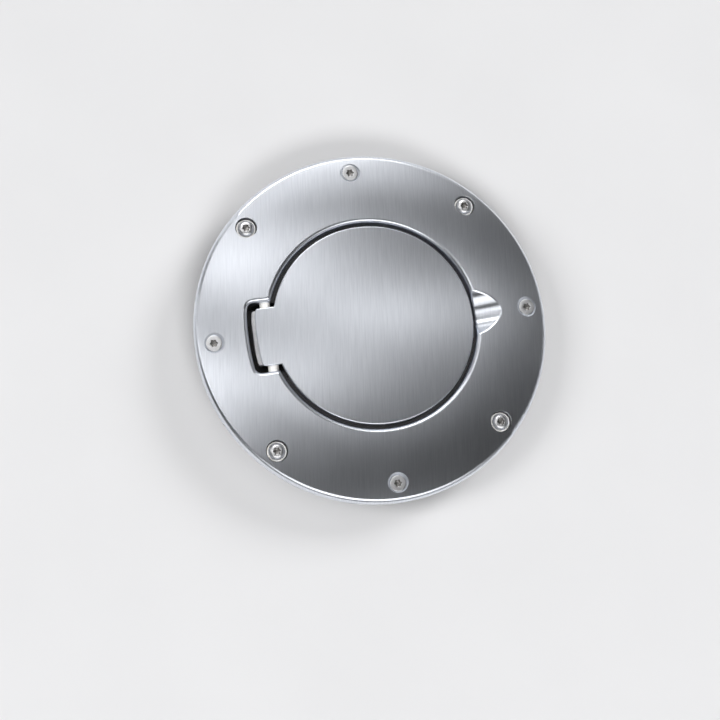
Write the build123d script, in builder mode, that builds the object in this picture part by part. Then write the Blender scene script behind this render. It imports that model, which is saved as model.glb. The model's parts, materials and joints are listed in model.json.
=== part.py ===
from build123d import *

import math
import os

# Round filler door: brushed trim ring, flush hinged lid, moulded rear housing.
# Origin at the centre of the mounting plane, under the panel gasket.
# +Z points out of the face, +X from the hinge to the finger scoop,
# +Y along the hinge pin. All sizes are in millimetres.

# Trim ring
ring_radius = 101.5
plate_z = 4.5
rim_bottom_z = 0.5
rim_inner_radius = 98.1
outer_edge_radius = 3.0
opening_radius = 59.75
inner_edge_radius = 2.4

# The ring's face is crowned: an arc that falls 2 degrees at the opening, 8 at the rim
face_z = 10.8
crown_radius = 400.0
crown_mid_r = 45.8
crown_mid_z = face_z - math.sqrt(crown_radius**2 - (opening_radius - crown_mid_r) ** 2)

# Hinge notch in the trim ring
notch_half_width = 19.8
notch_mid_x = -71.2
notch_side_x = -69.6
notch_root_x = -50.0
notch_corner_radius = 3.5

# Finger scoop: a tilted round groove, lowest at the opening
scoop_radius = 17.0
scoop_tip_x = 75.0
scoop_tip_z = crown_mid_z + math.sqrt(crown_radius**2 - (scoop_tip_x - crown_mid_r) ** 2)
scoop_low_x = 58.0
scoop_low_z = 3.8
scoop_edge_radius = 1.8
scoop_boss_end_x = 77.0
scoop_boss_half_width = 15.5
scoop_boss_gap = 0.3
scoop_reach = 25.0

# Screw pattern: flat heads on the axes, button heads on the diagonals
screw_circle_radius = 90.9
screws_per_kind = 4
screw_face_z = crown_mid_z + math.sqrt(
    crown_radius**2 - (screw_circle_radius - crown_mid_r) ** 2
)
mounting_screw_radius = 2.5
mounting_neck_radius = 2.1
mounting_neck_end_z = -0.3
trim_screw_core_radius = 2.1
clearance_radius = 2.75
countersink_radius = 6.0
flat_head_radius = 5.0
flat_head_rim = 0.3
trim_screw_tip_z = 0.5
button_hole_radius = 6.15
button_head_radius = 4.75
button_head_height = 2.6
button_head_rim = 0.5
button_shoulder_radius = 4.1
button_shoulder_height = 1.9
button_crown_radius = 2.6
mounting_screw_length = 20.0
washer_radius = 5.5
washer_bore_radius = 2.65
washer_thickness = 0.8
drive_lobes = 6
drive_radius = 1.6
drive_lobe_radius = 0.62
drive_depth = 1.5

# Rear housing
flange_radius = 97.0
flange_z = 1.5
bore_radius = 48.5
bore_top_z = -5.0
ledge_inner_radius = 49.5
collar_radius = 51.5
collar_bottom_z = -16.0
ledge_step_radius = 54.0
ledge_step_z = 2.5
ledge_step_half_width = 13.5
pocket_half_width = 20.0
pocket_end_x = -71.2
pocket_floor_z = -8.0
pocket_wall = 2.0
pocket_corner_radius = 5.0
arm_gate_half_width = 16.5
arm_gate_length = 8.0
saddle_boss_depth = 3.0
saddle_boss_half_length = 6.0
saddle_boss_end_y = 28.0
insert_radius = 3.5
insert_bore_radius = 2.15
insert_bottom_z = 0.3
insert_top_z = 4.2
insert_boss_radius = 5.5

# Panel gasket and lid seal
gasket_inner_radius = 78.0
gasket_screw_hole_radius = 3.2
gasket_boss_hole_radius = 6.2
seal_inner_radius = 50.2
seal_outer_radius = 53.4
seal_height = 0.8
buffer_circle_radius = 55.9
buffer_angle = 60.0
buffer_radius = 1.5
buffer_bottom_z = 2.5
buffer_top_z = 5.35

# Lid
lid_radius = 57.5
lid_bottom_z = 5.5
lid_edge_z = 10.3
lid_centre_z = 12.05
lid_crown_radius = (lid_radius**2 / (lid_centre_z - lid_edge_z) + lid_centre_z - lid_edge_z) / 2
lid_edge_radius = 0.6
tab_half_width = 16.5
tab_mid_x = -66.75
tab_side_x = -65.6
tab_root_x = -40.0
tab_corner_radius = 1.6
skin_z = 7.7

# Hinge line
axis_x = -59.5
axis_z = 4.5
pin_radius = 1.75
pin_half_length = 25.8
pin_chamfer = 0.3
bush_radius = 3.0
bush_bore_radius = 1.8
bush_inner_y = 15.8
bush_outer_y = 26.2

# Hinge arm under the lid
arm_half_width = 15.5
arm_root_x = -49.3
arm_web_x = -56.0
arm_bottom_z = 3.0
arm_plate_end_x = -33.0
arm_plate_half_width = 13.0
arm_plate_corner = 4.0
arm_recess_gap = 0.1
tab_relief_end = 58.0
side_relief_x = -50.5
side_relief_half_width = 24.0
side_relief_top_z = 8.4
lug_inner_y = 10.5
lug_radius = 4.5
tail_inner_x = -63.5
tail_mid_x = -69.0
tail_side_x = -67.6
tail_bottom_z = 2.5
tail_corner_radius = 1.5
tail_swing_radius = 9.6
tail_trim_reach = 15.0
stud_x = -41.0
stud_y = 8.0
stud_radius = 2.0
stud_tip_z = -2.0
stud_hole_radius = 2.15
nut_across_flats = 7.0
nut_height = 3.2
arm_washer_radius = 4.5
arm_washer_thickness = 0.8

# Torsion springs, one each side of a spacer
wire_radius = 0.4
leg_radius = 0.35
leg_drop = 0.1
coil_radius = 2.5
coil_turns = 10
coil_pitch = 0.76
coil_start_y = 2.4
coil_end_y = coil_start_y + (coil_turns - 1) * coil_pitch
leg_bend_radius = 1.2
lid_leg_end_x = -67.0
housing_leg_x = -collar_radius - wire_radius
housing_leg_bottom_z = -4.5
spacer_half_length = 1.6
spacer_bore_radius = 1.85

# Stop for the open lid
rib_front_x = -55.5
rib_thickness = 1.7
rib_top_z = -0.5
rib_half_width = 12.0
pad_thickness = 1.7
pad_half_width = 8.0
pad_bottom_z = -5.6
pad_top_z = -0.6


def tab_face(side_x, mid_x, half_width, root_x, corner_radius):
    """Tab outline in the XY plane, its outer end a shallow outward curve."""
    with BuildSketch() as tab:
        with BuildLine():
            ThreePointArc((side_x, half_width), (mid_x, 0), (side_x, -half_width))
            Polyline(
                (side_x, -half_width),
                (root_x, -half_width),
                (root_x, half_width),
                (side_x, half_width),
            )
        make_face()
        fillet(tab.vertices().sort_by(Axis.X)[:2], corner_radius)
    return tab.sketch


def plane_at(z):
    """Horizontal plane at a height."""
    return Plane.XY.offset(z)


def side_plane(y):
    """Upright plane across the hinge line, facing +Y, with its origin on the pin."""
    return Plane((axis_x, y, axis_z), x_dir=(-1, 0, 0), z_dir=(0, 1, 0))


def screw_places(start_angle):
    """The four places of one kind of screw."""
    return PolarLocations(screw_circle_radius, screws_per_kind, start_angle)


# The scoop's lowest line falls from its tip on the face to its low end
scoop_fall = Vector(scoop_low_x - scoop_tip_x, 0, scoop_low_z - scoop_tip_z).normalized()
scoop_up = Vector(scoop_fall.Z, 0, -scoop_fall.X)
scoop_plane = Plane(
    Vector(scoop_tip_x, 0, scoop_tip_z) + scoop_up * scoop_radius, z_dir=scoop_fall
)

notch_face = tab_face(
    notch_side_x, notch_mid_x, notch_half_width, notch_root_x, notch_corner_radius
)
skin_face = tab_face(tab_side_x, tab_mid_x, tab_half_width, tab_root_x, tab_corner_radius)
tail_face = tab_face(
    tail_side_x, tail_mid_x, arm_half_width, tail_inner_x, tail_corner_radius
)

# The two places where the closed lid rests
buffer_places = [
    Vector(buffer_circle_radius, 0, 0).rotate(Axis.Z, angle)
    for angle in (buffer_angle, -buffer_angle)
]

# Trim ring: crowned plate and a skirt that hides the housing's flange
with BuildPart() as bezel_ring:
    with BuildSketch(Plane.XZ) as ring_profile:
        with BuildLine():
            face_curve = CenterArc(
                (crown_mid_r, crown_mid_z),
                crown_radius,
                math.degrees(math.acos((ring_radius - crown_mid_r) / crown_radius)),
                math.degrees(
                    math.asin((ring_radius - crown_mid_r) / crown_radius)
                    - math.asin((opening_radius - crown_mid_r) / crown_radius)
                ),
            )
            Polyline(
                face_curve @ 1,
                (opening_radius, plate_z),
                (rim_inner_radius, plate_z),
                (rim_inner_radius, rim_bottom_z),
                (ring_radius, rim_bottom_z),
                face_curve @ 0,
            )
        make_face()
        outer_corner = ring_profile.vertices().sort_by(Axis.X)[-2:].sort_by(Axis.Z)[-1]
        fillet(outer_corner, outer_edge_radius)
    revolve(axis=Axis.Z)
    with BuildSketch(plane_at(plate_z)):
        add(notch_face)
    extrude(amount=face_z - plate_z, mode=Mode.SUBTRACT)
    face_edges = bezel_ring.faces().sort_by(Axis.Z)[-1].edges()
    outer_edge = face_edges.sort_by(SortBy.LENGTH)[-1]
    fillet(face_edges - ShapeList([outer_edge]), inner_edge_radius)
    # Boss that closes the floor of the scoop
    with BuildSketch(plane_at(flange_z)):
        with Locations((scoop_boss_end_x, 0)):
            Rectangle(
                scoop_boss_end_x - scoop_low_x,
                2 * scoop_boss_half_width,
                align=(Align.MAX, Align.CENTER),
            )
        Circle(opening_radius, mode=Mode.SUBTRACT)
    extrude(amount=plate_z - flange_z)
    # Scoop and its softened edge, which runs down into the opening's edge
    with BuildSketch(scoop_plane):
        Circle(scoop_radius)
    extrude(amount=scoop_reach, both=True, mode=Mode.SUBTRACT)
    scoop_edge = (
        bezel_ring.edges()
        .filter_by_position(Axis.X, scoop_low_x, scoop_tip_x)
        .filter_by_position(Axis.Y, -scoop_boss_half_width, scoop_boss_half_width)
        .filter_by_position(Axis.Z, lid_bottom_z, face_z)
    )
    fillet(scoop_edge, scoop_edge_radius)
    # Upper halves of the bush saddles
    with BuildSketch(side_plane(0)):
        Circle(bush_radius)
    extrude(amount=bush_outer_y, both=True, mode=Mode.SUBTRACT)
    # Countersunk holes on the axes, deep plain holes on the diagonals
    with Locations(plane_at(screw_face_z)):
        with screw_places(0):
            CounterSinkHole(
                clearance_radius, countersink_radius, screw_face_z - plate_z, 90
            )
    with Locations(plane_at(face_z)):
        with screw_places(45):
            Hole(button_hole_radius, face_z - plate_z)
bezel_ring.part.label = "bezel_ring"

# Rear housing: flange, collar round the filler neck, hinge pocket
with BuildPart() as rear_housing:
    with BuildSketch(plane_at(flange_z)):
        Circle(flange_radius)
    extrude(amount=plate_z - flange_z)
    with BuildSketch(plane_at(collar_bottom_z)):
        Circle(collar_radius)
    extrude(amount=flange_z - collar_bottom_z)
    # Pocket body and the lower saddle bosses
    with BuildSketch(plane_at(pocket_floor_z - pocket_wall)):
        with Locations((pocket_end_x - pocket_wall, 0)):
            Rectangle(
                pocket_wall - pocket_end_x - bore_radius,
                2 * (pocket_half_width + pocket_wall),
                align=(Align.MIN, Align.CENTER),
            )
    extrude(amount=flange_z - pocket_floor_z + pocket_wall)
    pocket_corners = rear_housing.edges().filter_by(Axis.Z).sort_by(Axis.X)[:2]
    fillet(pocket_corners, pocket_corner_radius)
    with BuildSketch(plane_at(flange_z - saddle_boss_depth)):
        with Locations((axis_x, 0)):
            Rectangle(2 * saddle_boss_half_length, 2 * saddle_boss_end_y)
    extrude(amount=saddle_boss_depth)
    # Bosses round the threaded inserts
    with BuildSketch(plane_at(insert_bottom_z)):
        with screw_places(0):
            Circle(insert_boss_radius)
    extrude(amount=flange_z - insert_bottom_z)
    # Filler bore
    with BuildSketch(plane_at(collar_bottom_z)):
        Circle(bore_radius)
    extrude(amount=bore_top_z - collar_bottom_z, mode=Mode.SUBTRACT)
    with BuildSketch(plane_at(bore_top_z)):
        Circle(ledge_inner_radius)
    extrude(amount=plate_z - bore_top_z, mode=Mode.SUBTRACT)
    # Hinge pocket, open at the top
    with BuildSketch(plane_at(pocket_floor_z)):
        with Locations((pocket_end_x, 0)):
            Rectangle(
                -pocket_end_x - bore_radius,
                2 * pocket_half_width,
                align=(Align.MIN, Align.CENTER),
            )
        Circle(collar_radius, mode=Mode.SUBTRACT)
    extrude(amount=plate_z - pocket_floor_z, mode=Mode.SUBTRACT)
    # Gate through the collar for the hinge arm
    with BuildSketch(plane_at(0)):
        with Locations((-bore_radius, 0)):
            Rectangle(arm_gate_length, 2 * arm_gate_half_width)
    extrude(amount=plate_z, mode=Mode.SUBTRACT)
    # Window round the scoop boss, and the step under the lid's edge
    with BuildSketch(plane_at(flange_z)):
        with Locations((scoop_boss_end_x + scoop_boss_gap, 0)):
            Rectangle(
                scoop_boss_end_x - scoop_low_x + 2 * scoop_boss_gap,
                2 * (scoop_boss_half_width + scoop_boss_gap),
                align=(Align.MAX, Align.CENTER),
            )
        Circle(opening_radius - scoop_boss_gap, mode=Mode.SUBTRACT)
    extrude(amount=plate_z - flange_z, mode=Mode.SUBTRACT)
    with BuildSketch(plane_at(ledge_step_z)):
        with Locations((opening_radius, 0)):
            Rectangle(
                opening_radius - bore_radius,
                2 * ledge_step_half_width,
                align=(Align.MAX, Align.CENTER),
            )
        Circle(ledge_step_radius, mode=Mode.SUBTRACT)
    extrude(amount=plate_z - ledge_step_z, mode=Mode.SUBTRACT)
    # Rib behind the open lid's stop pad
    with BuildSketch(plane_at(pocket_floor_z)):
        with Locations((rib_front_x, 0)):
            Rectangle(
                rib_thickness, 2 * rib_half_width, align=(Align.MIN, Align.CENTER)
            )
    extrude(amount=rib_top_z - pocket_floor_z)
    # Lower halves of the bush saddles
    with BuildSketch(side_plane(0)):
        Circle(bush_radius)
    extrude(amount=bush_outer_y, both=True, mode=Mode.SUBTRACT)
    # Screw holes, insert pockets and sockets for the buffers
    with Locations(plane_at(plate_z)):
        with screw_places(45):
            Hole(clearance_radius, plate_z)
        with screw_places(0):
            Hole(insert_radius, plate_z)
        with Locations(buffer_places):
            Hole(buffer_radius, plate_z - buffer_bottom_z)
rear_housing.part.label = "rear_housing"

# Panel gasket under the flange
with BuildPart() as panel_gasket:
    with BuildSketch():
        Circle(flange_radius)
        Circle(gasket_inner_radius, mode=Mode.SUBTRACT)
        with screw_places(45):
            Circle(gasket_screw_hole_radius, mode=Mode.SUBTRACT)
        with screw_places(0):
            Circle(gasket_boss_hole_radius, mode=Mode.SUBTRACT)
    extrude(amount=flange_z)
panel_gasket.part.label = "panel_gasket"

# Soft seal on the ledge, open where the hinge arm passes
with BuildPart() as lid_seal:
    with BuildSketch(plane_at(plate_z)):
        Circle(seal_outer_radius)
        Circle(seal_inner_radius, mode=Mode.SUBTRACT)
        with Locations((-bore_radius, 0)):
            Rectangle(
                opening_radius - bore_radius,
                2 * pocket_half_width,
                mode=Mode.SUBTRACT,
            )
    extrude(amount=seal_height)
lid_seal.part.label = "lid_seal"

# Rubber buffers under the lid's edge
with BuildPart() as lid_buffers:
    with BuildSketch(plane_at(buffer_bottom_z)):
        with Locations(buffer_places):
            Circle(buffer_radius)
    extrude(amount=buffer_top_z - buffer_bottom_z)
lid_buffers.part.label = "lid_buffers"

# Lid: crowned disc with a thin tab over the hinge and two welded studs
with BuildPart() as lid:
    with BuildSketch(plane_at(lid_bottom_z)):
        Circle(lid_radius)
    extrude(amount=lid_centre_z - lid_bottom_z)
    with BuildSketch(plane_at(skin_z)):
        add(skin_face)
    extrude(amount=lid_centre_z - skin_z)
    with Locations((0, 0, lid_centre_z - lid_crown_radius)):
        Sphere(lid_crown_radius, mode=Mode.INTERSECT)
    # Relief for the arm under the root of the tab
    with BuildSketch(plane_at(lid_bottom_z)):
        with Locations((arm_root_x + arm_recess_gap, 0)):
            Rectangle(
                arm_root_x + tab_relief_end,
                2 * (arm_half_width + arm_recess_gap),
                align=(Align.MAX, Align.CENTER),
            )
    extrude(amount=skin_z - lid_bottom_z, mode=Mode.SUBTRACT)
    # Reliefs beside the arm, where the lid's edge turns past the ring
    with BuildSketch(plane_at(lid_bottom_z)):
        with Locations((side_relief_x, 0)):
            Rectangle(
                side_relief_x + tab_relief_end,
                2 * side_relief_half_width,
                align=(Align.MAX, Align.CENTER),
            )
            Rectangle(
                side_relief_x + tab_relief_end,
                2 * (arm_half_width + arm_recess_gap),
                align=(Align.MAX, Align.CENTER),
                mode=Mode.SUBTRACT,
            )
    extrude(amount=side_relief_top_z - lid_bottom_z, mode=Mode.SUBTRACT)
    fillet(lid.faces().sort_by(Axis.Z)[-1].edges(), lid_edge_radius)
    with BuildSketch(plane_at(stud_tip_z)):
        with Locations((stud_x, stud_y), (stud_x, -stud_y)):
            Circle(stud_radius)
    extrude(amount=lid_bottom_z - stud_tip_z)
lid.part.label = "lid"

# Hinge arm: plate under the lid, two lugs on the pin, tail behind the pin
with BuildPart() as hinge_arm:
    with BuildSketch(plane_at(arm_bottom_z)):
        with Locations((arm_plate_end_x, 0)):
            Rectangle(
                arm_plate_end_x - arm_web_x,
                2 * arm_plate_half_width,
                align=(Align.MAX, Align.CENTER),
            )
    extrude(amount=lid_bottom_z - arm_bottom_z)
    plate_corners = hinge_arm.edges().filter_by(Axis.Z).sort_by(Axis.X)[-2:]
    fillet(plate_corners, arm_plate_corner)
    with BuildSketch(plane_at(arm_bottom_z)):
        with Locations((arm_root_x, 0)):
            Rectangle(
                arm_root_x - arm_web_x,
                2 * arm_half_width,
                align=(Align.MAX, Align.CENTER),
            )
    extrude(amount=skin_z - arm_bottom_z)
    # Lugs: round below the pin, square up to the lid
    with BuildSketch(side_plane(lug_inner_y)):
        Circle(lug_radius)
        Rectangle(2 * lug_radius, skin_z - axis_z, align=(Align.CENTER, Align.MIN))
        with Locations((0, skin_z - axis_z)):
            Rectangle(
                2 * lug_radius,
                lug_radius,
                align=(Align.CENTER, Align.MIN),
                mode=Mode.SUBTRACT,
            )
    extrude(amount=arm_half_width - lug_inner_y)
    mirror(about=Plane.XZ)
    # Tail, trimmed to the radius that swings inside the pocket
    with BuildSketch(plane_at(tail_bottom_z)):
        add(tail_face)
    extrude(amount=skin_z - tail_bottom_z)
    with BuildSketch(side_plane(0)):
        Rectangle(
            tail_trim_reach, 2 * tail_trim_reach, align=(Align.MIN, Align.CENTER)
        )
        Circle(tail_swing_radius, mode=Mode.SUBTRACT)
    extrude(amount=arm_half_width, both=True, mode=Mode.SUBTRACT)
    # Bore for the pin and holes for the studs
    with BuildSketch(side_plane(0)):
        Circle(pin_radius)
    extrude(amount=arm_half_width, both=True, mode=Mode.SUBTRACT)
    with Locations((stud_x, stud_y, lid_bottom_z), (stud_x, -stud_y, lid_bottom_z)):
        Hole(stud_hole_radius, lid_bottom_z - arm_bottom_z)
hinge_arm.part.label = "hinge_arm"

# Washers and nuts that clamp the arm to the lid's studs
with BuildPart() as arm_washers:
    with BuildSketch(plane_at(arm_bottom_z)):
        with Locations((stud_x, stud_y), (stud_x, -stud_y)):
            Circle(arm_washer_radius)
            Circle(stud_hole_radius, mode=Mode.SUBTRACT)
    extrude(amount=-arm_washer_thickness)
arm_washers.part.label = "arm_washers"

with BuildPart() as arm_nuts:
    with BuildSketch(plane_at(arm_bottom_z - arm_washer_thickness)):
        with Locations((stud_x, stud_y), (stud_x, -stud_y)):
            RegularPolygon(nut_across_flats / 2, 6, major_radius=False)
            Circle(stud_radius, mode=Mode.SUBTRACT)
    extrude(amount=-nut_height)
arm_nuts.part.label = "arm_nuts"

# Hinge pin
with BuildPart() as hinge_pin:
    with BuildSketch(side_plane(0)):
        Circle(pin_radius)
    extrude(amount=pin_half_length, both=True)
    chamfer(hinge_pin.edges().filter_by(GeomType.CIRCLE), pin_chamfer)
hinge_pin.part.label = "hinge_pin"

# Nylon bushes, clamped between the trim ring and the housing
with BuildPart() as hinge_bush_upper:
    with BuildSketch(side_plane(bush_inner_y)):
        Circle(bush_radius)
        Circle(bush_bore_radius, mode=Mode.SUBTRACT)
    extrude(amount=bush_outer_y - bush_inner_y)
hinge_bush_upper.part.label = "hinge_bush_upper"

with BuildPart() as hinge_bush_lower:
    add(hinge_bush_upper.part)
    mirror(about=Plane.XZ, mode=Mode.REPLACE)
hinge_bush_lower.part.label = "hinge_bush_lower"

# Spacer on the pin between the springs
with BuildPart() as spring_spacer:
    with BuildSketch(side_plane(0)):
        Circle(bush_radius)
        Circle(spacer_bore_radius, mode=Mode.SUBTRACT)
    extrude(amount=spacer_half_length, both=True)
spring_spacer.part.label = "spring_spacer"

# Torsion spring: close-wound coil, one leg under the tail, one on the collar
with BuildPart() as torsion_spring_upper:
    with BuildSketch(plane_at(axis_z)):
        with Locations((axis_x + coil_radius, coil_start_y)):
            with GridLocations(1, coil_pitch, 1, coil_turns, align=(Align.MIN, Align.MIN)):
                Circle(wire_radius)
    revolve(axis=Axis((axis_x, 0, axis_z), (0, 1, 0)))
    leg_z = axis_z - coil_radius - leg_drop
    with BuildSketch(Plane((axis_x, coil_end_y, leg_z), z_dir=(-1, 0, 0))):
        Circle(leg_radius)
    extrude(amount=axis_x - lid_leg_end_x)
    with BuildLine() as housing_leg:
        FilletPolyline(
            (axis_x, coil_start_y, leg_z),
            (housing_leg_x, coil_start_y, leg_z),
            (housing_leg_x, coil_start_y, housing_leg_bottom_z),
            radius=leg_bend_radius,
        )
    with BuildSketch(Plane((axis_x, coil_start_y, leg_z), z_dir=(1, 0, 0))):
        Circle(leg_radius)
    sweep(path=housing_leg.wire())
torsion_spring_upper.part.label = "torsion_spring_upper"

with BuildPart() as torsion_spring_lower:
    add(torsion_spring_upper.part)
    mirror(about=Plane.XZ, mode=Mode.REPLACE)
torsion_spring_lower.part.label = "torsion_spring_lower"

# Rubber pad that stops the open lid
with BuildPart() as open_stop_pad:
    with BuildSketch(plane_at(pad_bottom_z)):
        with Locations((rib_front_x, 0)):
            Rectangle(
                pad_thickness, 2 * pad_half_width, align=(Align.MAX, Align.CENTER)
            )
    extrude(amount=pad_top_z - pad_bottom_z)
open_stop_pad.part.label = "open_stop_pad"

# Flat-head screw that joins the trim ring to the housing, one then all four
flat_cone_height = flat_head_radius - trim_screw_core_radius
flat_cone_top_z = screw_face_z - (countersink_radius - flat_head_radius)
flat_head_top_z = flat_cone_top_z + flat_head_rim
with BuildSketch() as drive:
    Circle(drive_radius)
    with PolarLocations(drive_radius, drive_lobes):
        Circle(drive_lobe_radius)

with BuildPart() as trim_screw:
    with BuildSketch(Plane.XZ):
        with BuildLine():
            Polyline(
                (0, trim_screw_tip_z),
                (trim_screw_core_radius, trim_screw_tip_z),
                (trim_screw_core_radius, flat_cone_top_z - flat_cone_height),
                (flat_head_radius, flat_cone_top_z),
                (flat_head_radius, flat_head_top_z),
                (0, flat_head_top_z),
                close=True,
            )
        make_face()
    revolve(axis=Axis.Z)
    with BuildSketch(plane_at(flat_head_top_z)):
        add(drive.sketch)
    extrude(amount=-drive_depth, mode=Mode.SUBTRACT)

with BuildPart() as trim_screws:
    with screw_places(0):
        add(trim_screw.part)
trim_screws.part.label = "trim_screws"

# Threaded inserts in the housing for the flat-head screws
with BuildPart() as threaded_inserts:
    with BuildSketch(plane_at(insert_bottom_z)):
        with screw_places(0):
            Circle(insert_radius)
            Circle(insert_bore_radius, mode=Mode.SUBTRACT)
    extrude(amount=insert_top_z - insert_bottom_z)
threaded_inserts.part.label = "threaded_inserts"

# Nylon washers under the button heads
with BuildPart() as mounting_washers:
    with BuildSketch(plane_at(plate_z)):
        with screw_places(45):
            Circle(washer_radius)
            Circle(washer_bore_radius, mode=Mode.SUBTRACT)
    extrude(amount=washer_thickness)
mounting_washers.part.label = "mounting_washers"

# Button-head screw that holds the door to the panel, one then all four
button_seat_z = plate_z + washer_thickness
button_top_z = button_seat_z + button_head_height
with BuildPart() as mounting_screw:
    with BuildSketch(Plane.XZ):
        with BuildLine():
            Polyline(
                (0, button_top_z),
                (0, button_seat_z - mounting_screw_length),
                (mounting_screw_radius, button_seat_z - mounting_screw_length),
                (mounting_screw_radius, mounting_neck_end_z),
                (mounting_neck_radius, mounting_neck_end_z),
                (mounting_neck_radius, button_seat_z),
                (button_head_radius, button_seat_z),
                (button_head_radius, button_seat_z + button_head_rim),
            )
            ThreePointArc(
                (button_head_radius, button_seat_z + button_head_rim),
                (button_shoulder_radius, button_seat_z + button_shoulder_height),
                (button_crown_radius, button_top_z),
            )
            Line((button_crown_radius, button_top_z), (0, button_top_z))
        make_face()
    revolve(axis=Axis.Z)
    with BuildSketch(plane_at(button_top_z)):
        add(drive.sketch)
    extrude(amount=-drive_depth, mode=Mode.SUBTRACT)

with BuildPart() as mounting_screws:
    with screw_places(45):
        add(mounting_screw.part)
mounting_screws.part.label = "mounting_screws"

os.makedirs("parts", exist_ok=True)
for piece in (
    bezel_ring,
    rear_housing,
    panel_gasket,
    lid_seal,
    lid_buffers,
    lid,
    hinge_arm,
    arm_washers,
    arm_nuts,
    hinge_pin,
    hinge_bush_upper,
    hinge_bush_lower,
    spring_spacer,
    torsion_spring_upper,
    torsion_spring_lower,
    open_stop_pad,
    trim_screws,
    threaded_inserts,
    mounting_washers,
    mounting_screws,
):
    export_step(piece.part, f"parts/{piece.part.label}.step")
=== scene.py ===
import json
import math

import bmesh
import bpy
from mathutils import Matrix, Vector


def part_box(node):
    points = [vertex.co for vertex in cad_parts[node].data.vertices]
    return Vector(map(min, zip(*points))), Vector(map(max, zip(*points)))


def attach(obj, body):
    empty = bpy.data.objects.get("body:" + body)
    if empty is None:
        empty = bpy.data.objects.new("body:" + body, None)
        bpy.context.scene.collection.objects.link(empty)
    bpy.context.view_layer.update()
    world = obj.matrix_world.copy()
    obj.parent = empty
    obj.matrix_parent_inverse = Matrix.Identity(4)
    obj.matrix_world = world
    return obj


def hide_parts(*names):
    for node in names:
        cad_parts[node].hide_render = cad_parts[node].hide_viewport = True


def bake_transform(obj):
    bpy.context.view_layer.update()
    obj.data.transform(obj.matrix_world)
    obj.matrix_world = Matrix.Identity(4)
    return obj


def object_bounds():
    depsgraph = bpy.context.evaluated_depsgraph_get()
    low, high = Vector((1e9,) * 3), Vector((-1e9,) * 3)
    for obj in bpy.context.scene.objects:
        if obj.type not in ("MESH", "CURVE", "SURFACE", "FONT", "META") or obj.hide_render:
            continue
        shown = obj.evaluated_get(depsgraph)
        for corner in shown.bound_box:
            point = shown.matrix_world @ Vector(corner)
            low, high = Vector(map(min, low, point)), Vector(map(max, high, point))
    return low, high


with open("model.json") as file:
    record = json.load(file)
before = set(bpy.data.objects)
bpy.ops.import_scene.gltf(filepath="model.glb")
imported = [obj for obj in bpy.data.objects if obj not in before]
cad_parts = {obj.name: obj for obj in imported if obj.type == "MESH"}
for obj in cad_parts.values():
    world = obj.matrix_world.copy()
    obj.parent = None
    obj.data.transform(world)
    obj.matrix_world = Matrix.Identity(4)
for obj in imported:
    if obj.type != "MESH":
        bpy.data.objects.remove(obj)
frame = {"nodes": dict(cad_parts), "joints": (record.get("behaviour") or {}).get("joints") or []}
cad_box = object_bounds()
nodes = frame["nodes"]
lid_joint = frame["joints"][0]

MM = 0.001

# ---- camera: where it stands and what it looks at, in millimetres ----
CAMERA_PLACE = (-134.1, -144.6, 711.9)
CAMERA_TARGET = (-10.9, -19.4, 8.5)
CAMERA_UP = (0.1187, 0.9738, 0.1941)
CAMERA_LENS = 64.35
SENSOR_WIDTH = 36.0

# ---- studio ----
LIGHT_DISTANCE = 4.0               # metres from the object to every light
WORLD_TOP = 0.0                    # brightness of the room overhead
WORLD_RIM = 0.8                    # and near the horizon
FLOOR_HALF = 3.0                   # metres from the floor's middle to its sides
# Levels of the softboxes
SOFT = 3.0
HALF = SOFT / 2
BRIGHT = 8.0
# Softboxes for the object alone: aim is the light's direction along +X and +Y, size as seen
# from the object
SOFTBOXES = {
    "left_box": ((-0.36, 0.07), (0.20, 0.24), SOFT),
    "left_high": ((-0.42, 0.29), (0.16, 0.20), HALF),
    "centre_strip": ((-0.10, 0.12), (0.22, 0.05), SOFT),
    "centre_box": ((0.06, 0.12), (0.11, 0.13), HALF),
    "right_box": ((0.23, 0.215), (0.22, 0.07), SOFT),
    "back_centre": ((-0.03, 0.34), (0.16, 0.12), SOFT),
    "back_left": ((-0.17, 0.44), (0.11, 0.20), SOFT),
    "back_strip": ((0.10, 0.52), (0.50, 0.05), HALF),
    "back_high": ((0.0, 0.70), (0.60, 0.16), BRIGHT),
}
# Lights from the sides that the rounded edges of the metal pick up
EDGE_LIGHTS = {
    "edge_right": ((0.85, 0.10), (0.25, 0.40), 0.5),
    "edge_left": ((-0.70, 0.33), (0.42, 0.50), 1.0),
    "edge_front": ((0.0, -0.60), (0.90, 0.60), 2.0),
    "edge_back": ((0.0, 0.92), (0.90, 0.20), 1.5),
}
# Large lights for the floor, plastic, rubber and springs
ROOM_LIGHTS = {
    "room_right": ((0.74, 0.42), (0.36, 0.36), 10.5),
    "room_left": ((-0.76, 0.08), (0.50, 0.36), 7.5),
    "room_front": ((0.0, -0.70), (0.60, 0.30), 7.5),
    "room_above": ((0.0, 0.0), (0.9, 0.9), 0.9),
}
# Nodes that the room lights leave out, as they do the turned screws
METAL = ("bezel_ring", "lid", "hinge_arm", "arm_nuts", "arm_washers", "hinge_pin",
         "threaded_inserts")

# ---- finishes ----
NOISE_RANGE = (0.3, 0.7)           # where nearly all of a noise's values lie
BRUSH_ANGLE = math.radians(7)      # grain leans this far from +Y towards +X
BRUSH_ROUGHNESS = 0.28
BRUSH_ROUGHNESS_RANGE = (0.277, 0.290)
BRUSH_STRETCH = 0.68

# ---- closing springs, in millimetres ----
WIRE_RADIUS = 0.38
COIL_TURNS = 8
STEPS_PER_TURN = 40
WIRE_SIDES = 12
LEG_BEND = 1.2
BEND_STEPS = 8
WIRE_END_SIZE = 0.6                # a domed end's flat, as a share of the wire's radius
WIRE_END_REACH = 0.4               # how far the dome stands out, as a share of it too

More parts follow.
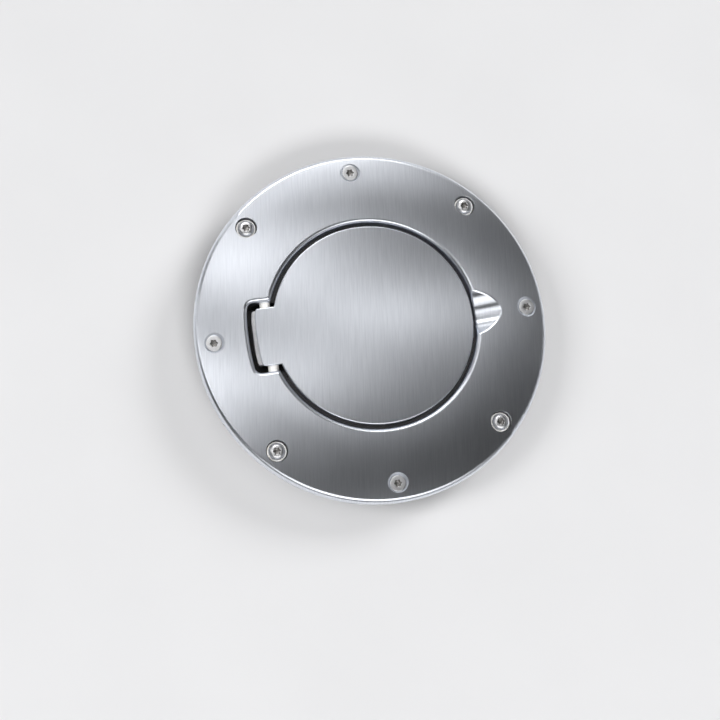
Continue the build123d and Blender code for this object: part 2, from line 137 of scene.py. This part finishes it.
# ---- screws, in millimetres; heights are measured from the top of the head ----
SCREWS_OF_A_KIND = 4
SCREW_CIRCLE = 90.9
SCREW_SIDES = 48
RECESS_LOBES = 6
RECESS_WAVE = 0.15                 # how far the lobes reach, as a share of the mean radius
RECESS_CONE = 0.35                 # depth of the cone in the recess's floor
# Each entry is radius, height, share of the wave
RECESS_PROFILE = ((1.45, -1.2, 1.0), (1.6, -1.15, 1.0), (1.82, -0.16, 1.0), (1.9, -0.06, 1.0))
FLAT_HEAD_PROFILE = (
    (1.98, -0.012, 0.95), (2.1, 0.0, 0.8), (2.7, 0.0, 0.0), (4.05, 0.0, 0.0), (4.3, -0.02, 0.0),
    (4.47, -0.1, 0.0), (4.57, -0.24, 0.0), (4.6, -0.7, 0.0), (2.09, -3.21, 0.0), (2.09, -3.4, 0.0),
)
BUTTON_HEAD_PROFILE = (
    (1.98, -0.012, 0.95), (2.1, 0.0, 0.8), (2.45, 0.0, 0.2), (2.6, -0.02, 0.0),
    (3.0, -0.075, 0.0), (3.4, -0.21, 0.0), (3.76, -0.42, 0.0), (4.08, -0.7, 0.0),
    (4.34, -1.06, 0.0), (4.55, -1.46, 0.0), (4.68, -1.85, 0.0), (4.74, -2.2, 0.0),
    (4.74, -2.5, 0.0), (4.68, -2.59, 0.0), (2.09, -2.59, 0.0),
)
THREAD_RADIUS = 2.49
THREAD_DEPTH = 0.45
THREAD_PITCH = 0.8
THREAD_TOP = -0.4                  # where the thread starts, measured from the frame's origin
THREAD_RISE = 1.5                  # share of the full depth that an end gains in one turn
STEPS_PER_PITCH = 10


# ------------------------------------------------------------------ camera and lights


def add_camera():
    """The camera, turned so that its own up axis is CAMERA_UP."""
    data = bpy.data.cameras.new("camera")
    data.lens = CAMERA_LENS
    data.sensor_width = SENSOR_WIDTH
    camera = bpy.data.objects.new("camera", data)
    place = Vector(CAMERA_PLACE) * MM
    back = (place - Vector(CAMERA_TARGET) * MM).normalized()
    right = Vector(CAMERA_UP).cross(back).normalized()
    up = back.cross(right)
    turn = Matrix((right, up, back)).transposed().to_4x4()
    camera.matrix_world = Matrix.Translation(place) @ turn
    bpy.context.scene.collection.objects.link(camera)
    bpy.context.scene.camera = camera


def add_light(name, aim, size, brightness):
    """A rectangular light on a dome, facing the object."""
    x, y = aim
    outward = Vector((x, y, math.sqrt(1 - x * x - y * y)))
    data = bpy.data.lights.new(name, "AREA")
    data.shape = "RECTANGLE"
    data.size = size[0] * LIGHT_DISTANCE
    data.size_y = size[1] * LIGHT_DISTANCE
    data.energy = brightness * math.pi * data.size * data.size_y
    light = bpy.data.objects.new(name, data)
    across = (Vector((1, 0, 0)) - outward * outward.x).normalized()
    turn = Matrix((across, outward.cross(across), outward)).transposed().to_4x4()
    light.matrix_world = Matrix.Translation(outward * LIGHT_DISTANCE) @ turn
    light.visible_camera = False
    bpy.context.scene.collection.objects.link(light)
    return light


def keep_light_off(light, *objects):
    """The light leaves these objects out."""
    left_out = bpy.data.collections.new(light.name + "_leaves_out")
    for o in objects:
        left_out.objects.link(o)
    for entry in left_out.collection_objects:
        entry.light_linking.link_state = "EXCLUDE"
    light.light_linking.receiver_collection = left_out


def add_world():
    """A dim room, brighter towards the horizon."""
    world = bpy.data.worlds.new("room")
    world.use_nodes = True
    tree = world.node_tree
    direction = tree.nodes.new("ShaderNodeTexCoord")
    split = tree.nodes.new("ShaderNodeSeparateXYZ")
    height = tree.nodes.new("ShaderNodeMapRange")
    height.interpolation_type = "SMOOTHSTEP"
    height.inputs["From Min"].default_value = 0.05
    height.inputs["From Max"].default_value = 0.42
    height.inputs["To Min"].default_value = WORLD_RIM
    height.inputs["To Max"].default_value = WORLD_TOP
    tree.links.new(direction.outputs["Generated"], split.inputs[0])
    tree.links.new(split.outputs["Z"], height.inputs["Value"])
    background = tree.nodes["Background"]
    background.inputs["Color"].default_value = (0.97, 0.98, 1.0, 1)
    tree.links.new(height.outputs["Result"], background.inputs["Strength"])
    bpy.context.scene.world = world


# ------------------------------------------------------------------ material helpers


def new_material(name, colour, roughness, metallic=0.0):
    """A material with a Principled shader; returns it with its node tree and shader."""
    material = bpy.data.materials.new(name)
    material.use_nodes = True
    tree = material.node_tree
    shader = tree.nodes["Principled BSDF"]
    shader.inputs["Base Color"].default_value = (*colour, 1)
    shader.inputs["Roughness"].default_value = roughness
    shader.inputs["Metallic"].default_value = metallic
    return material, tree, shader


def grain(tree, cell, detail=3.0, angle=0.0):
    """Noise in the object's own space; cell is the size of one blot in millimetres."""
    place = tree.nodes.new("ShaderNodeTexCoord")
    turn = tree.nodes.new("ShaderNodeMapping")
    turn.vector_type = "POINT"
    turn.inputs["Rotation"].default_value = (0, 0, angle)
    stretch = tree.nodes.new("ShaderNodeMapping")
    stretch.inputs["Scale"].default_value = [1 / (c * MM) for c in cell]
    noise = tree.nodes.new("ShaderNodeTexNoise")
    noise.inputs["Scale"].default_value = 1.0
    noise.inputs["Detail"].default_value = detail
    tree.links.new(place.outputs["Object"], turn.inputs[0])
    tree.links.new(turn.outputs[0], stretch.inputs[0])
    tree.links.new(stretch.outputs[0], noise.inputs["Vector"])
    return noise.outputs["Fac"]


def spread(tree, value, low, high):
    """Noise brought to a range of its own."""
    node = tree.nodes.new("ShaderNodeMapRange")
    node.inputs["From Min"].default_value = NOISE_RANGE[0]
    node.inputs["From Max"].default_value = NOISE_RANGE[1]
    node.inputs["To Min"].default_value = low
    node.inputs["To Max"].default_value = high
    tree.links.new(value, node.inputs["Value"])
    return node.outputs["Result"]


def tint(tree, shader, value, dark, light):
    """Base colour that goes from one tone to another with the noise."""
    mix = tree.nodes.new("ShaderNodeMix")
    mix.data_type = "RGBA"
    mix.inputs[6].default_value = (*dark, 1)
    mix.inputs[7].default_value = (*light, 1)
    tree.links.new(spread(tree, value, 0, 1), mix.inputs[0])
    tree.links.new(mix.outputs[2], shader.inputs["Base Color"])


def relief(tree, shader, value, height):
    """Bump from noise; height is its depth in millimetres."""
    bump = tree.nodes.new("ShaderNodeBump")
    bump.inputs["Distance"].default_value = height * MM
    tree.links.new(value, bump.inputs["Height"])
    tree.links.new(bump.outputs[0], shader.inputs["Normal"])


# ------------------------------------------------------------------ materials


def brushed_aluminium():
    """Straight-grained aluminium: highlights spread across the grain."""
    material, tree, shader = new_material(
        "brushed_aluminium", (0.86, 0.87, 0.89), BRUSH_ROUGHNESS, 1)
    shader.inputs["Anisotropic"].default_value = BRUSH_STRETCH
    across = tree.nodes.new("ShaderNodeVectorTransform")
    across.vector_type = "VECTOR"
    across.convert_from = "OBJECT"
    across.convert_to = "WORLD"
    across.inputs[0].default_value = (math.cos(BRUSH_ANGLE), -math.sin(BRUSH_ANGLE), 0)
    tree.links.new(across.outputs[0], shader.inputs["Tangent"])
    streaks = grain(tree, (0.7, 16, 60), 3, BRUSH_ANGLE)
    handling = grain(tree, (14, 26, 20), 3, BRUSH_ANGLE)
    tint(tree, shader, streaks, (0.78, 0.81, 0.87), (0.87, 0.90, 0.96))
    tree.links.new(spread(tree, handling, *BRUSH_ROUGHNESS_RANGE), shader.inputs["Roughness"])
    return material


def cast_aluminium():
    material, tree, shader = new_material("cast_aluminium", (0.66, 0.66, 0.68), 0.42, 1)
    pits = grain(tree, (0.5, 0.5, 0.5), 4)
    relief(tree, shader, pits, 0.05)
    tint(tree, shader, grain(tree, (4, 4, 4), 2), (0.58, 0.58, 0.60), (0.72, 0.72, 0.74))
    return material


def black_plastic():
    material, tree, shader = new_material("black_plastic", (0.02, 0.02, 0.022), 0.5)
    relief(tree, shader, grain(tree, (0.35, 0.35, 0.35), 3), 0.03)
    clouds = grain(tree, (18, 18, 12), 3)
    tint(tree, shader, clouds, (0.016, 0.016, 0.018), (0.028, 0.028, 0.030))
    tree.links.new(spread(tree, clouds, 0.44, 0.56), shader.inputs["Roughness"])
    return material


def black_rubber():
    material, tree, shader = new_material("black_rubber", (0.018, 0.018, 0.018), 0.8)
    relief(tree, shader, grain(tree, (0.8, 0.8, 0.4), 4), 0.06)
    tint(tree, shader, grain(tree, (9, 9, 6), 3), (0.014, 0.014, 0.014), (0.030, 0.029, 0.028))
    shader.inputs["Specular IOR Level"].default_value = 0.3
    return material


def seal_rubber():
    """Softer rubber than the gasket's, a warm dark grey."""
    material, tree, shader = new_material("seal_rubber", (0.07, 0.06, 0.055), 0.7)
    tint(tree, shader, grain(tree, (5, 5, 5), 3), (0.055, 0.047, 0.042), (0.09, 0.077, 0.07))
    shader.inputs["Specular IOR Level"].default_value = 0.3
    return material


def stainless():
    material, tree, shader = new_material("stainless", (0.86, 0.86, 0.87), 0.32, 1)
    marks = grain(tree, (0.5, 0.5, 0.25), 4)
    relief(tree, shader, marks, 0.008)
    tree.links.new(spread(tree, marks, 0.29, 0.35), shader.inputs["Roughness"])
    return material


def painted_shade_recess_steel():
    """Stainless darkened in blotches for a screw's recess: painted shade standing in for the
    recess's shade.
    """
    material, tree, shader = new_material("painted_shade_recess_steel", (0.30, 0.29, 0.28), 0.36, 1)
    painted_shade_blots = grain(tree, (0.7, 0.7, 0.7), 3)
    tint(tree, shader, painted_shade_blots, (0.16, 0.15, 0.14), (0.46, 0.45, 0.44))
    return material


def spring_steel():
    material, tree, shader = new_material("spring_steel", (0.60, 0.60, 0.63), 0.28, 1)
    marks = grain(tree, (0.3, 0.12, 0.3), 4)
    tree.links.new(spread(tree, marks, 0.29, 0.38), shader.inputs["Roughness"])
    return material


def white_nylon():
    material, tree, shader = new_material("white_nylon", (0.88, 0.87, 0.84), 0.38)
    shader.inputs["Subsurface Weight"].default_value = 0.25
    shader.inputs["Subsurface Radius"].default_value = (0.001, 0.001, 0.0009)
    tint(tree, shader, grain(tree, (3, 3, 3), 2), (0.84, 0.83, 0.79), (0.91, 0.90, 0.88))
    relief(tree, shader, grain(tree, (0.6, 0.6, 0.6), 3), 0.01)
    return material


def brass():
    material, tree, shader = new_material("brass", (0.80, 0.60, 0.30), 0.3, 1)
    marks = grain(tree, (1.2, 1.2, 0.15), 3)
    relief(tree, shader, marks, 0.02)
    tint(tree, shader, grain(tree, (2, 2, 2), 2), (0.70, 0.50, 0.24), (0.84, 0.64, 0.34))
    return material


def paint(material, *names):
    """Gives these CAD nodes one material."""
    for name in names:
        for slot in nodes[name].material_slots:
            slot.material = material


# ------------------------------------------------------------------ meshes


def add_object(name, mesh):
    piece = bpy.data.objects.new(name, mesh)
    bpy.context.scene.collection.objects.link(piece)
    return piece


def join(work, one, two):
    """Faces between two rings with the same number of points."""
    faces = []
    for k in range(len(one)):
        j = (k + 1) % len(one)
        faces.append(work.faces.new((one[k], one[j], two[j], two[k])))
    return faces


def tube(name, path, radius):
    """A round wire with domed ends; its path starts straight up and its rings don't twist."""
    mesh = bpy.data.meshes.new(name)
    work = bmesh.new()
    rings = []
    side = Vector((0, 1, 0))
    last = len(path) - 1
    for i, point in enumerate(path):
        along = (path[min(i + 1, last)] - path[max(i - 1, 0)]).normalized()
        side = (side - along * side.dot(along)).normalized()
        up = along.cross(side)
        ring = []
        for k in range(WIRE_SIDES):
            a = math.tau * k / WIRE_SIDES
            ring.append(work.verts.new(point + (side * math.cos(a) + up * math.sin(a)) * radius))
        rings.append(ring)
    for one, two in zip(rings, rings[1:]):
        join(work, one, two)
    for ring, inner, way in ((rings[0], path[1], -1), (rings[-1], path[-2], 1)):
        centre = sum((v.co for v in ring), Vector()) / WIRE_SIDES
        outward = (centre - inner).normalized()
        reach = outward * radius * WIRE_END_REACH
        small = []
        for v in ring:
            small.append(work.verts.new(centre + (v.co - centre) * WIRE_END_SIZE + reach))
        for k in range(WIRE_SIDES):
            j = (k + 1) % WIRE_SIDES
            corners = (ring[k], ring[j], small[j], small[k])
            work.faces.new(corners if way > 0 else corners[::-1])
        work.faces.new(small if way > 0 else small[::-1])
    bmesh.ops.recalc_face_normals(work, faces=work.faces)
    work.to_mesh(mesh)
    work.free()
    for face in mesh.polygons:
        face.use_smooth = True
    return mesh


def bend(corner, before, after, radius):
    """Points round one corner of a wire, between two straight runs at right angles."""
    into = (corner - before).normalized()
    out = (after - corner).normalized()
    centre = corner - into * radius + out * radius
    points = []
    for i in range(BEND_STEPS + 1):
        a = math.pi / 2 * i / BEND_STEPS
        points.append(centre - out * (radius * math.cos(a)) + into * (radius * math.sin(a)))
    return points


def add_spring(node, hand, material):
    """A torsion spring: one leg on the housing's collar, coils, one leg under the arm."""
    low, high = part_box(node)
    pin = Vector(lid_joint["pos_m"])
    wire = WIRE_RADIUS * MM
    coil = high.z - pin.z - wire
    leg_z = pin.z - coil
    collar_x = high.x - wire
    start_y, end_y = (low.y + wire, high.y - wire) if hand > 0 else (high.y - wire, low.y + wire)
    foot = Vector((collar_x, start_y, low.z + wire))
    corner = Vector((collar_x, start_y, leg_z))
    path = [foot] + bend(corner, foot, Vector((pin.x, start_y, leg_z)), LEG_BEND * MM)
    steps = COIL_TURNS * STEPS_PER_TURN
    for i in range(steps + 1):
        a = math.tau * i / STEPS_PER_TURN
        y = start_y + (end_y - start_y) * i / steps
        path.append(Vector((pin.x - coil * math.sin(a), y, pin.z - coil * math.cos(a))))
    path.append(Vector((low.x, end_y, leg_z)))
    spring = add_object("wound_" + node, tube("wound_" + node, path, wire))
    spring.data.materials.append(material)
    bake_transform(spring)
    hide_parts(node)


def lathe(work, axis, profile, top, recess_rings):
    """Turned shape with a lobed recess round a vertical axis; faces of the recess get slot 1."""
    centre = work.verts.new((axis.x, axis.y, top + (profile[0][1] - RECESS_CONE) * MM))
    rings = []
    for radius, height, wave in profile:
        ring = []
        for k in range(SCREW_SIDES):
            a = math.tau * k / SCREW_SIDES
            r = radius * (1 + RECESS_WAVE * wave * math.cos(RECESS_LOBES * a)) * MM
            x = axis.x + r * math.cos(a)
            y = axis.y + r * math.sin(a)
            ring.append(work.verts.new((x, y, top + height * MM)))
        rings.append(ring)
    for k in range(SCREW_SIDES):
        j = (k + 1) % SCREW_SIDES
        work.faces.new((centre, rings[0][j], rings[0][k])).material_index = 1
    for i, (one, two) in enumerate(zip(rings, rings[1:])):
        for face in join(work, one, two):
            face.material_index = 1 if i < recess_rings else 0
    return rings[-1]


def add_thread(work, axis, ring, start, end):
    """Carries the last ring down as a screw thread and closes the tip."""
    steps = round((start - end) / (THREAD_PITCH * MM) * STEPS_PER_PITCH)
    for i in range(steps + 1):
        z = start + (end - start) * i / steps
        from_end = min(i, steps - i)
        run_out = min(1.0, THREAD_RISE * from_end / STEPS_PER_PITCH)
        following = []
        for k in range(SCREW_SIDES):
            a = math.tau * k / SCREW_SIDES
            turn = (i / STEPS_PER_PITCH + k / SCREW_SIDES) % 1
            crest = 1 - abs(2 * turn - 1)
            r = (THREAD_RADIUS - THREAD_DEPTH * (1 - crest * run_out)) * MM
            x = axis.x + r * math.cos(a)
            y = axis.y + r * math.sin(a)
            following.append(work.verts.new((x, y, z)))
        join(work, ring, following)
        ring = following
    work.faces.new(ring)


def add_shank(work, ring, end):
    """Carries the last ring straight down and closes the tip."""
    tip = []
    for v in ring:
        tip.append(work.verts.new((v.co.x, v.co.y, end)))
    join(work, ring, tip)
    work.faces.new(tip)


def add_screws(node, head_profile, materials, first_angle, threaded):
    """The four screws of one kind, with softened edges and six-lobe recesses."""
    low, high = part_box(node)
    mesh = bpy.data.meshes.new("turned_" + node)
    work = bmesh.new()
    for i in range(SCREWS_OF_A_KIND):
        a = math.radians(first_angle + 360 / SCREWS_OF_A_KIND * i)
        axis = Vector((math.cos(a), math.sin(a), 0)) * SCREW_CIRCLE * MM
        profile = RECESS_PROFILE + head_profile
        last = lathe(work, axis, profile, high.z, len(RECESS_PROFILE))
        if threaded:
            add_thread(work, axis, last, THREAD_TOP * MM, low.z)
        else:
            add_shank(work, last, low.z)
    bmesh.ops.recalc_face_normals(work, faces=work.faces)
    work.to_mesh(mesh)
    work.free()
    # Every face is smooth but the flat tips
    for face in mesh.polygons:
        face.use_smooth = len(face.vertices) < SCREW_SIDES
    screws = add_object("turned_" + node, mesh)
    for material in materials:
        mesh.materials.append(material)
    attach(screws, "housing")
    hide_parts(node)
    return screws


def add_floor():
    """A large pale sheet under the object."""
    half = FLOOR_HALF
    z = cad_box[0][2]
    mesh = bpy.data.meshes.new("floor")
    mesh.from_pydata(
        [(-half, -half, z), (half, -half, z), (half, half, z), (-half, half, z)],
        [], [(0, 1, 2, 3)])
    floor = add_object("floor", mesh)
    material, tree, shader = new_material("floor_paper", (0.84, 0.84, 0.85), 0.9)
    tint(tree, shader, grain(tree, (90, 90, 90), 2), (0.83, 0.83, 0.84), (0.85, 0.85, 0.86))
    mesh.materials.append(material)
    return floor


# ------------------------------------------------------------------ the scene

add_camera()
add_world()
floor = add_floor()

paint(brushed_aluminium(), "bezel_ring", "lid")
paint(cast_aluminium(), "hinge_arm")
paint(black_plastic(), "rear_housing")
paint(black_rubber(), "panel_gasket", "lid_buffers", "open_stop_pad")
paint(seal_rubber(), "lid_seal")
steel = stainless()
paint(steel, "arm_nuts", "arm_washers", "hinge_pin")
paint(white_nylon(), "hinge_bush_upper", "hinge_bush_lower", "spring_spacer", "mounting_washers")
paint(brass(), "threaded_inserts")

# The second, darker steel is painted shade for the screws' recesses
screw_steels = (steel, painted_shade_recess_steel())
turned_screws = (
    add_screws("trim_screws", FLAT_HEAD_PROFILE, screw_steels, first_angle=0, threaded=False),
    add_screws("mounting_screws", BUTTON_HEAD_PROFILE, screw_steels, first_angle=45, threaded=True),
)
wire_finish = spring_steel()
add_spring("torsion_spring_upper", 1, wire_finish)
add_spring("torsion_spring_lower", -1, wire_finish)

for light_name, (light_aim, light_size, light_brightness) in (SOFTBOXES | EDGE_LIGHTS).items():
    object_light = add_light(light_name, light_aim, light_size, light_brightness)
    keep_light_off(object_light, floor)
for light_name, (light_aim, light_size, light_brightness) in ROOM_LIGHTS.items():
    room_light = add_light(light_name, light_aim, light_size, light_brightness)
    keep_light_off(room_light, *turned_screws, *(nodes[name] for name in METAL))

bpy.context.scene.view_settings.view_transform = "Standard"
